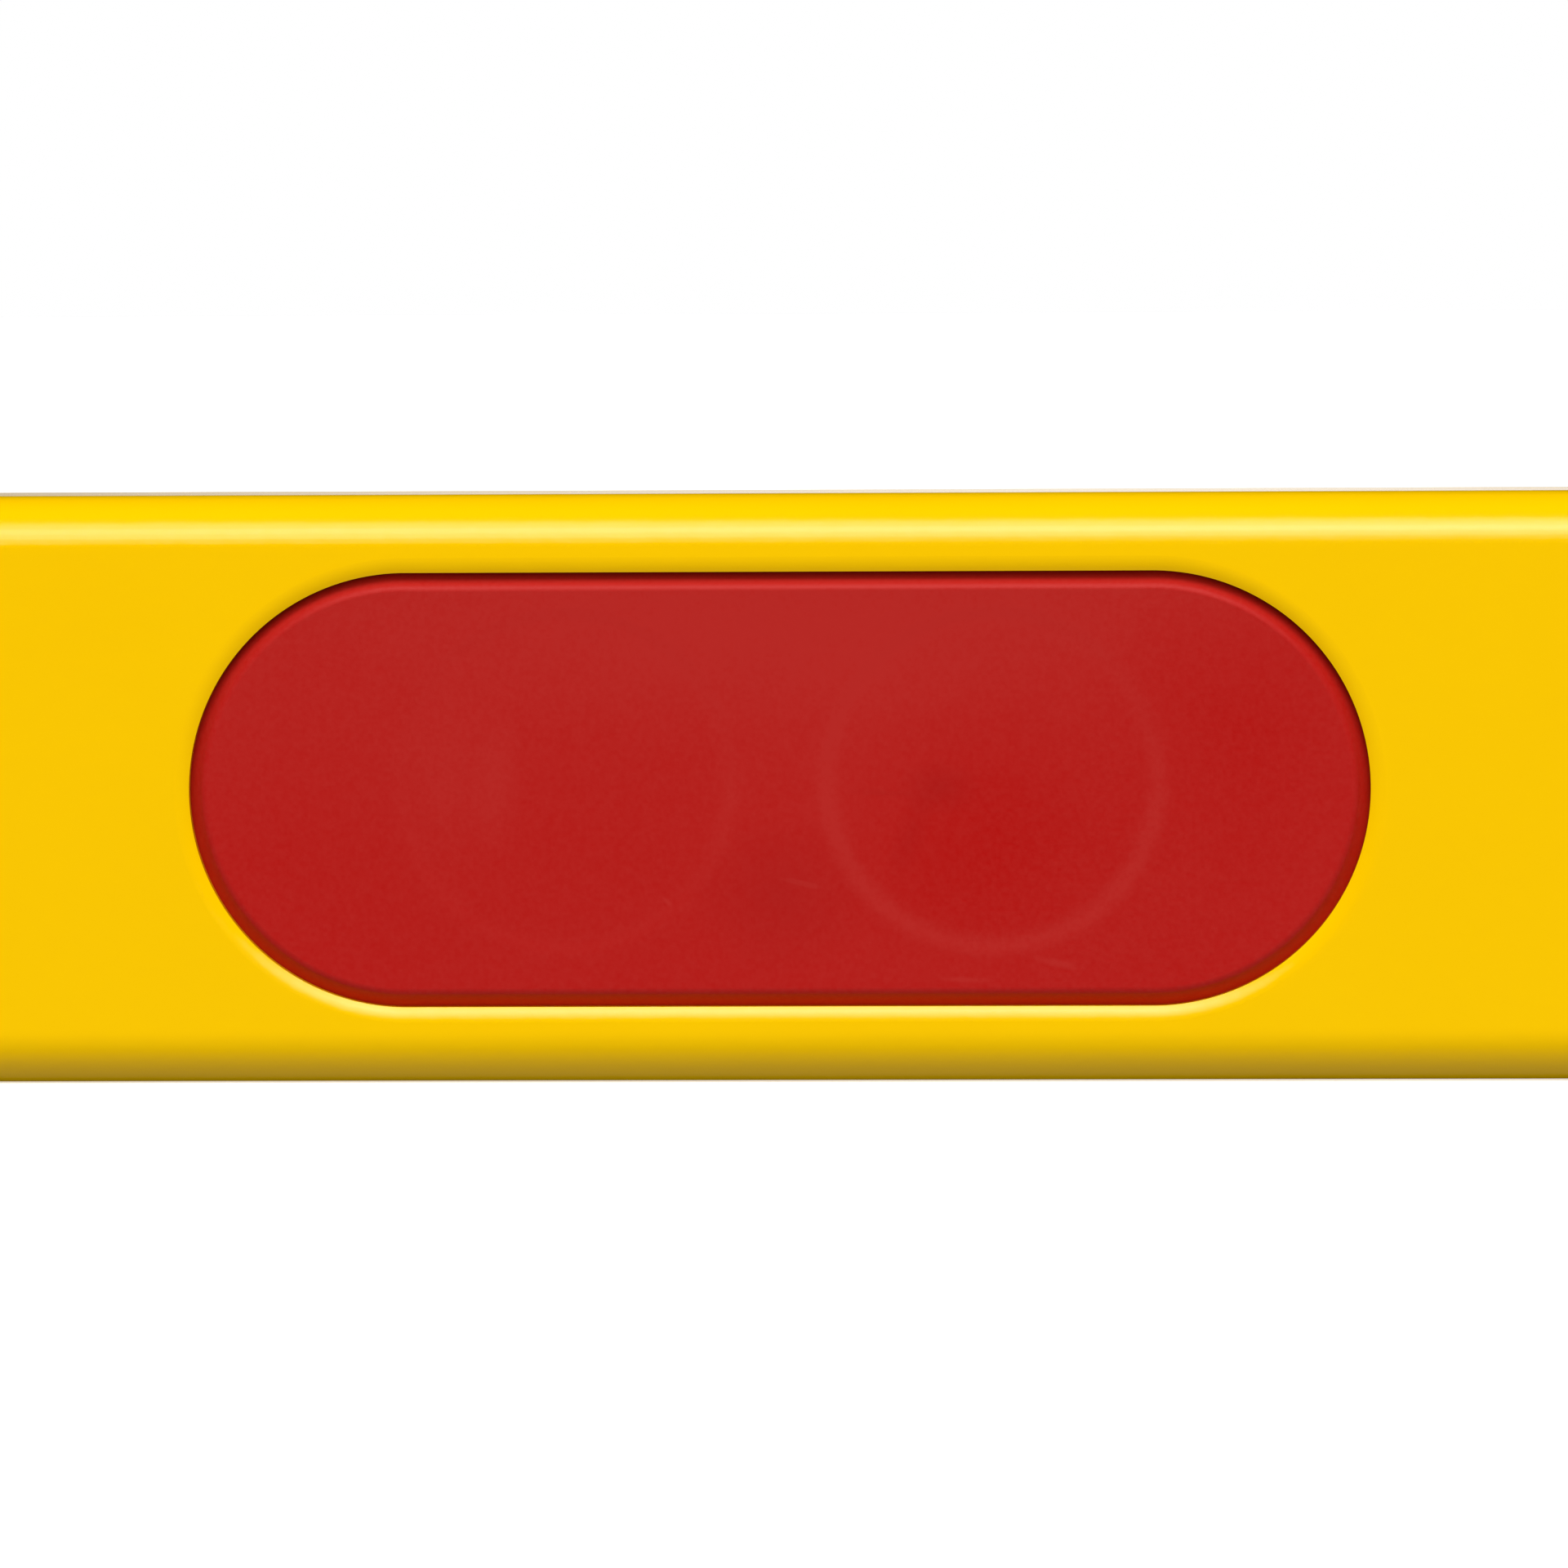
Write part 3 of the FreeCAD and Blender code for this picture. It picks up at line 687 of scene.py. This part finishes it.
def boss_ring_sheen(tree, place):
    """The painted sheen ring on the edge of each boss, zero away from it, and the height."""
    axes = add(tree, "SeparateXYZ", {0: place})
    fold = add(tree, "Math", {0: axes.outputs["X"]}, operation="ABSOLUTE")
    across = add(tree, "Math", {0: fold.outputs[0], 1: grip_x}, operation="SUBTRACT")
    apart = add(tree, "Math", {0: across.outputs[0]}, operation="ABSOLUTE")
    beside = add(tree, "Math", {0: apart.outputs[0], 1: BOSS_OFFSET}, operation="SUBTRACT")
    centre_z = mid_height + BOSS_RISE
    above = add(tree, "Math", {0: axes.outputs["Z"], 1: centre_z}, operation="SUBTRACT")
    flat = add(tree, "CombineXYZ", {"X": beside.outputs[0], "Z": above.outputs[0]})
    radius = add(tree, "VectorMath", {0: flat.outputs[0]}, operation="LENGTH")
    off = add(tree, "Math", {0: radius.outputs["Value"], 1: RING_MIDDLE}, operation="SUBTRACT")
    near = add(tree, "Math", {0: off.outputs[0]}, operation="ABSOLUTE")
    ring = add(
        tree,
        "MapRange",
        {"Value": near.outputs[0], "From Max": RING_REACH, "To Min": 1, "To Max": 0},
        interpolation_type="SMOOTHSTEP",
    )
    weight = ring_weight(tree, above.outputs[0], across.outputs[0])
    strong = add(tree, "Math", {0: ring.outputs[0], 1: weight}, operation="MULTIPLY")
    return strong.outputs[0], axes.outputs["Z"]


# %% [markdown]
# ## Marks of use and painted sheen
#
# The front right cover has a few marks of handling: short pale scratches and darker
# smudges. Among the pale spots there is also painted sheen, a broad patch along the upper
# middle and a pale stripe on the left dish, where light would catch the face. Each is a
# soft oval spot on that cover alone. It is given by its place from the middle of the cover
# and its half length and half height, all in millimetres, its tilt in degrees and its
# strength. A negative strength among the pale spots takes sheen away: a painted shade
# inside the right dish and beside it.

# %% Marks and painted sheen, as (x, z, half length, half height, tilt, strength)
PALE_MARKS_AND_SHEEN = (
    (2.0, -8.0, 2.0, 0.3, 13, 1.1),
    (-9.5, -9.5, 0.7, 0.25, 45, 0.6),
    (23.5, -14.8, 2.6, 0.45, 13, 0.6),
    (15.7, -16.2, 2.7, 0.3, 2, 0.6),
    # painted sheen: a pale stripe and patch on the left dish
    (-23.9, 0.4, 2.4, 7.0, 4, 0.35),
    (-28.0, 0.4, 5.0, 10.0, 0, 0.25),
    # painted sheen: a broad pale patch along the upper middle
    (-2.4, 13.5, 34.0, 10.0, 0, 0.3),
    # painted shade: sheen taken away inside the right dish and beside it
    (18.3, -3.7, 15.0, 13.0, 0, -0.3),
    (38.4, 5.3, 13.0, 15.0, 0, -0.3),
)
DARK_MARKS = (
    (13.5, 0.1, 3.8, 2.6, 0, 0.25),
    (11.1, -4.1, 1.6, 4.6, 20, 0.15),
    (8.6, -0.3, 3.5, 0.4, 3, 0.12),
    (0.0, -8.9, 8.0, 7.0, 0, 0.2),
)
MARK_DEPTH = 2 * MM


def marks(tree, place, spots):
    """The sum of soft oval spots on the front right cover."""
    total = 0.0
    for x, z, half_length, half_height, tilt, strength in spots:
        spot = add(
            tree,
            "Mapping",
            {
                "Vector": place,
                "Location": (grip_x + x * MM, front + FIELD_SINK, mid_height + z * MM),
                "Rotation": (0, math.radians(tilt), 0),
                "Scale": (half_length * MM, MARK_DEPTH, half_height * MM),
            },
            vector_type="TEXTURE",
        )
        ball = add(tree, "TexGradient", {"Vector": spot.outputs[0]}, gradient_type="SPHERICAL")
        total = add(
            tree,
            "Math",
            {0: ball.outputs["Fac"], 1: strength, 2: total},
            operation="MULTIPLY_ADD",
        ).outputs[0]
    return total


# %% [markdown]
# ## The colour and the feel of red ABS
#
# Moulded ABS is one red all through, but its skin is not even. It is paler in slow clouds
# and on the marks, and the spark-eroded grain makes it fleck. A painted sheen is added as
# well: paler towards its upper edge and on the rings over the bosses. All of these are
# added up into one share of a paler red. The grain of such a mould is about 0.1 mm, which
# is too fine to show, so it is drawn at 0.4 mm, and the same noise gives both the flecks
# and the fine bumps.

# %% How pale the skin is, with its painted sheen
# Painted sheen: the red is made paler towards its upper edge.
UPPER_SHEEN_FROM = mid_height - 6 * MM
UPPER_SHEEN_TO = mid_height + 18 * MM
UPPER_SHEEN = 0.3
PALE_CLOUD = 0.3
PALE_FLECK = 0.8
# painted sheen on the boss rings
RING_SHEEN = 0.45
SKIN_CLOUD = 16 * MM


def paleness(tree, place, spark):
    """Paler red: painted sheen up top and on rings, plus clouds, flecks and marks."""
    ring, height = boss_ring_sheen(tree, place)
    cloud = add(tree, "TexNoise", {"Vector": place, "Scale": 1 / SKIN_CLOUD, "Detail": 3})
    # painted sheen towards the upper edge
    rise = {"Value": height, "From Min": UPPER_SHEEN_FROM, "From Max": UPPER_SHEEN_TO, "To Max": UPPER_SHEEN}
    total = add(tree, "MapRange", rise).outputs[0]
    sources = ((cloud.outputs["Fac"], PALE_CLOUD), (spark, PALE_FLECK), (ring, RING_SHEEN))
    for source, strength in sources:
        more = {0: source, 1: strength, 2: total}
        total = add(tree, "Math", more, operation="MULTIPLY_ADD").outputs[0]
    marked = {0: marks(tree, place, PALE_MARKS_AND_SHEEN), 1: total}
    return add(tree, "Math", marked, operation="ADD").outputs[0]


# %% Make the red ABS
SPARK_GRAIN = 0.4 * MM
SPARK_HEIGHT = 0.012 * MM
SINK_WAVE = 20 * MM
SINK_WAVE_HEIGHT = 0.1 * MM


def moulded_abs():
    """Satin red ABS with painted sheen on the boss rings and upper edge, and a few marks."""
    material, tree, shader, place = finish(
        "moulded_red_abs", {"Roughness": 0.42, "IOR": 1.46, "Specular IOR Level": 0.28}
    )
    spark = add(tree, "TexNoise", {"Vector": place, "Scale": 1 / SPARK_GRAIN, "Detail": 2})
    tone = add(
        tree,
        "Mix",
        {
            FACTOR: paleness(tree, place, spark.outputs["Fac"]),
            COLOUR_A: linear("#ac0401"),
            COLOUR_B: linear("#b1231e"),
        },
        data_type="RGBA",
    )
    worn = add(
        tree,
        "Mix",
        {
            FACTOR: marks(tree, place, DARK_MARKS),
            COLOUR_A: tone.outputs[MIXED],
            COLOUR_B: linear("#8e0b0a"),
        },
        data_type="RGBA",
    )
    tree.links.new(worn.outputs[MIXED], shader.inputs["Base Color"])
    sink = add(tree, "TexNoise", {"Vector": place, "Scale": 1 / SINK_WAVE, "Detail": 2})
    waves = add(tree, "Bump", {"Height": sink.outputs["Fac"], "Distance": SINK_WAVE_HEIGHT})
    fine = add(
        tree,
        "Bump",
        {
            "Height": spark.outputs["Fac"],
            "Distance": SPARK_HEIGHT,
            "Normal": waves.outputs["Normal"],
        },
    )
    tree.links.new(fine.outputs["Normal"], shader.inputs["Normal"])
    return material


red = moulded_abs()
print(red.name, "has", len(red.node_tree.nodes), "nodes")

# %% [markdown]
# ## Clear pieces
#
# The vials and windows are polished acrylic, whose IOR is 1.49. The spirit's is lower,
# 1.36, and a bubble is air inside that spirit. A ray that meets the bubble goes from 1.36
# to 1, so its IOR is one over 1.36, which gives the dark outline of a real bubble. Cast
# acrylic is never quite flat, so a slow wave of a hundredth of a millimetre bends it.

# %% Make the acrylic, the spirit and the air
ACRYLIC_IOR = 1.49
ACRYLIC_WAVE = 8 * MM
ACRYLIC_WAVE_HEIGHT = 0.01 * MM
SPIRIT_IOR = 1.36
SPIRIT_WAVE = 12 * MM
SPIRIT_WAVE_HEIGHT = 0.002 * MM


def clear(name, colour, ior, wave, height):
    """A clear finish with a slow wave in its surface."""
    material, tree, shader, place = finish(
        name,
        {
            "Base Color": linear(colour),
            "Roughness": 0.0,
            "IOR": ior,
            "Transmission Weight": 1.0,
        },
    )
    swell = add(tree, "TexNoise", {"Vector": place, "Scale": 1 / wave, "Detail": 1})
    bend = add(tree, "Bump", {"Height": swell.outputs["Fac"], "Distance": height})
    tree.links.new(bend.outputs["Normal"], shader.inputs["Normal"])
    return material


acrylic = clear(
    "polished_clear_acrylic", "#f6fbf8", ACRYLIC_IOR, ACRYLIC_WAVE, ACRYLIC_WAVE_HEIGHT
)
spirit_dye = clear("dyed_vial_spirit", "#d2f03c", SPIRIT_IOR, SPIRIT_WAVE, SPIRIT_WAVE_HEIGHT)
air = clear("air_in_spirit", "#ffffff", 1 / SPIRIT_IOR, SPIRIT_WAVE, SPIRIT_WAVE_HEIGHT)
print("clear finishes:", acrylic.name, spirit_dye.name, air.name)

# %% [markdown]
# ## Rubber and ring enamel
#
# The end pads are matt black rubber that takes knocks, with a dusty, slightly uneven
# skin. The reading rings are black bands that are rolled into grooves in the bore. One
# recipe serves both: a dusty cloud between two blacks, and a fine grain in the skin.

# %% Make the rubber and the ring enamel
DUST_CLOUD = 6 * MM
RUBBER_GRAIN = 0.4 * MM
RUBBER_GRAIN_HEIGHT = 0.03 * MM
ENAMEL_GRAIN = 0.3 * MM
ENAMEL_GRAIN_HEIGHT = 0.003 * MM


def black(name, dark, pale, roughness, grain, height):
    """A black finish with a fine skin and a faint dusty tone."""
    material, tree, shader, place = finish(name, {"Roughness": roughness, "IOR": 1.52})
    dust = add(tree, "TexNoise", {"Vector": place, "Scale": 1 / DUST_CLOUD, "Detail": 4})
    tone = add(
        tree,
        "Mix",
        {FACTOR: dust.outputs["Fac"], COLOUR_A: linear(dark), COLOUR_B: linear(pale)},
        data_type="RGBA",
    )
    tree.links.new(tone.outputs[MIXED], shader.inputs["Base Color"])
    skin = add(tree, "TexNoise", {"Vector": place, "Scale": 1 / grain, "Detail": 2})
    bump = add(tree, "Bump", {"Height": skin.outputs["Fac"], "Distance": height})
    tree.links.new(bump.outputs["Normal"], shader.inputs["Normal"])
    return material


rubber = black(
    "matt_black_rubber", "#161617", "#262628", 0.62, RUBBER_GRAIN, RUBBER_GRAIN_HEIGHT
)
enamel = black(
    "black_ring_enamel", "#0a0a0a", "#141414", 0.4, ENAMEL_GRAIN, ENAMEL_GRAIN_HEIGHT
)
print("black finishes:", rubber.name, enamel.name)

# %% [markdown]
# ## Dressing the pieces
#
# The part's record gives each CAD node a material slot, so one table from slot to finish
# dresses all of them. The pieces that were modelled here get theirs by kind.

# %% Give every piece its finish
finish_of = {
    "powder_coated_aluminium": yellow,
    "red_plastic": red,
    "clear_acrylic": acrylic,
    "vial_fluid": spirit_dye,
    "air_bubble": air,
    "black_ring": enamel,
    "black_rubber": rubber,
}
for name, node in frame["nodes"].items():
    node.data.materials.clear()
    node.data.materials.append(finish_of[slot_of[name]])
for pieces, material in (
    ([box_section], yellow),
    (red_pieces, red),
    (panes, acrylic),
    (spirits, spirit_dye),
    (bubbles, air),
):
    for piece in pieces:
        piece.data.materials.append(material)
print("finishes:", sorted(material.name for material in finish_of.values()))

# %% [markdown]
# ## The table
#
# The level lies on a white table. The table shows to the eye, but it is left out of
# bounce light and reflections: a table that bright would flood the underside of the
# level, whose lower corner has to turn away into a soft shade. The room stands in for it
# there. The table lies a hair low, so that it shares no plane with the lower face.

# %% Lay the table
TABLE_SIZE = 20.0
TABLE_DROP = 0.02 * MM
TABLE_GLOW = 0.5

bpy.ops.mesh.primitive_plane_add(size=TABLE_SIZE, location=(0, 0, -TABLE_DROP))
table = fresh("white_table")
table.visible_diffuse = False
table.visible_glossy = False
white, _, shader, _ = finish("white_table_top", {"Roughness": 0.9})
shader.inputs["Base Color"].default_value = linear("#f4f4f4")
shader.inputs["Emission Color"].default_value = linear("#ffffff")
shader.inputs["Emission Strength"].default_value = TABLE_GLOW
table.data.materials.append(white)
print("table:", TABLE_SIZE, "m wide")

# %% [markdown]
# ## The room
#
# A studio looks different to the eye, to a mirror and to a matt face, and here the room
# has a strength for each, chosen by the kind of ray. The eye sees plain white, also
# through acrylic. A gloss ray sees dark with soft boxes in it, each brightest in its
# middle and fading out to its reach. The image of the front one is the pale strip along
# the upper corner, two more stand behind, and a small low one straight behind is what the
# top face mirrors at a grazing angle. Towards straight below comes the faint image of
# the table. A matt face gets a dim sky from above and the glow of the table from below.
# Blender can also sample a room as a light, but such a sample can't tell the kind of its
# ray, so that is turned off.

# %% Directions
def toward(azimuth, elevation):
    """The direction from the level; azimuth 0 is the front, and 90 is the right end."""
    turn, tilt = math.radians(azimuth), math.radians(elevation)
    level = Vector((math.sin(turn), -math.cos(turn), 0)) * math.cos(tilt)
    return level + AXES["z"] * math.sin(tilt)


def angle_from(tree, way, azimuth, elevation):
    """The angle between a ray and a direction."""
    aim = add(tree, "VectorMath", {0: way, 1: toward(azimuth, elevation)}, operation="DOT_PRODUCT")
    return add(tree, "Math", {0: aim.outputs["Value"]}, operation="ARCCOSINE").outputs[0]


# %% Soft boxes, as (azimuth, elevation, reach in degrees, strength in the middle)
SOFT_BOXES = ((2, 37, 26, 6.2), (-130, 31, 30, 3.0), (130, 31, 30, 3.0), (180, 0, 12, 1.1))
FLOOR_GLOSS = 0.2
FLOOR_FROM = -0.7


def mirrored(tree, way, height):
    """What a gloss ray sees: the table straight below, and the soft boxes."""
    floor = {"Value": height, "From Min": FLOOR_FROM, "From Max": -1, "To Max": FLOOR_GLOSS}
    gloss = add(tree, "MapRange", floor).outputs[0]
    for azimuth, elevation, reach, peak in SOFT_BOXES:
        angle = angle_from(tree, way, azimuth, elevation)
        fade = {"Value": angle, "From Max": math.radians(reach), "To Min": peak, "To Max": 0}
        box = add(tree, "MapRange", fade)
        gloss = add(tree, "Math", {0: box.outputs[0], 1: gloss}, operation="ADD").outputs[0]
    return gloss


# %% Build the room
GLOW = 0.4
SKY = 0.06
HORIZON = 0.02


def room():
    """White to the eye, with soft boxes for gloss and the table's glow for shade."""
    world = bpy.data.worlds.new("bright_room")
    world.use_nodes = True
    world.cycles.sampling_method = "NONE"
    tree = world.node_tree
    way = add(tree, "TexCoord").outputs["Generated"]
    height = add(tree, "SeparateXYZ", {0: way}).outputs["Z"]
    gloss = mirrored(tree, way, height)
    glow = {"Value": height, "From Min": HORIZON, "From Max": -HORIZON}
    shade = add(tree, "MapRange", {**glow, "To Min": SKY, "To Max": GLOW})
    ray = add(tree, "LightPath")
    lit = add(tree, "Mix", {0: ray.outputs["Is Diffuse Ray"], 2: gloss, 3: shade.outputs[0]})
    eye = add(
        tree,
        "Math",
        {0: ray.outputs["Is Camera Ray"], 1: ray.outputs["Is Transmission Ray"]},
        operation="MAXIMUM",
    )
    strength = add(tree, "Mix", {0: eye.outputs[0], 2: lit.outputs[0], 3: 1.0})
    fill = tree.nodes["Background"]
    fill.inputs["Color"].default_value = linear("#ffffff")
    tree.links.new(strength.outputs[0], fill.inputs["Strength"])
    return world


bpy.context.scene.world = room()
print("soft boxes:", len(SOFT_BOXES))

# %% [markdown]
# ## Light
#
# Three wide soft lights stand side by side in front of the level, about 50 degrees up,
# and a weaker one stands low between them. Together they work like one long window: they
# light the covers evenly and leave whatever looks down in shade. Two more stand low
# behind the corners and keep the back clear without touching the front. None of them
# shows in a reflection, because the soft boxes do that. A sun of strength pi makes a
# white face that looks straight at it fully white, so strengths are shares of that.

# %% Soft lights, as (name, azimuth, elevation, width in degrees, strength)
LIGHTS = (
    ("front_light_left", -24, 48, 40, 0.34),
    ("front_light", 2, 51, 40, 0.34),
    ("front_light_right", 28, 48, 40, 0.34),
    ("low_light", 4, 18, 30, 0.23),
    ("back_light_left", -135, 10, 40, 0.5),
    ("back_light_right", 135, 10, 40, 0.5),
)

for name, azimuth, elevation, width, strength in LIGHTS:
    lamp = bpy.data.lights.new(name, "SUN")
    lamp.angle = math.radians(width)
    lamp.energy = strength * math.pi
    stand = bpy.data.objects.new(name, lamp)
    stand.rotation_mode = "QUATERNION"
    stand.rotation_quaternion = toward(azimuth, elevation).to_track_quat("Z", "Y")
    stand.visible_camera = False
    stand.visible_glossy = False
    bpy.context.scene.collection.objects.link(stand)
print("lights:", len(LIGHTS))

# %% [markdown]
# ## Camera
#
# A long lens looks at the right front grip from a little above and a little to the right
# of square on, so that the edges of the body stay almost parallel. The plain view
# transform shows each colour as its finish gives it.

# %% Camera
CAMERA_DISTANCE = 0.9
CAMERA_AZIMUTH = 2.17
CAMERA_ELEVATION = 2.90
CAMERA_ROLL = -0.277
AIM_RIGHT = 0.47 * MM
AIM_UP = 0.47 * MM
VIEW_WIDTH = 132.77 * MM
SENSOR_WIDTH = 36

lens = bpy.data.cameras.new("long_lens")
lens.sensor_width = SENSOR_WIDTH
lens.lens = SENSOR_WIDTH * CAMERA_DISTANCE / VIEW_WIDTH
camera = bpy.data.objects.new("camera", lens)
back = toward(CAMERA_AZIMUTH, CAMERA_ELEVATION)
aim = Vector((grip_x + AIM_RIGHT, front, mid_height + AIM_UP))
camera.rotation_mode = "QUATERNION"
turn = back.to_track_quat("Z", "Y").to_matrix() @ Matrix.Rotation(math.radians(CAMERA_ROLL), 3, "Z")
camera.rotation_quaternion = turn.to_quaternion()
camera.location = aim + back * CAMERA_DISTANCE
bpy.context.scene.collection.objects.link(camera)
bpy.context.scene.camera = camera
bpy.context.scene.view_settings.view_transform = "Standard"
print("lens in mm:", round(lens.lens, 1))
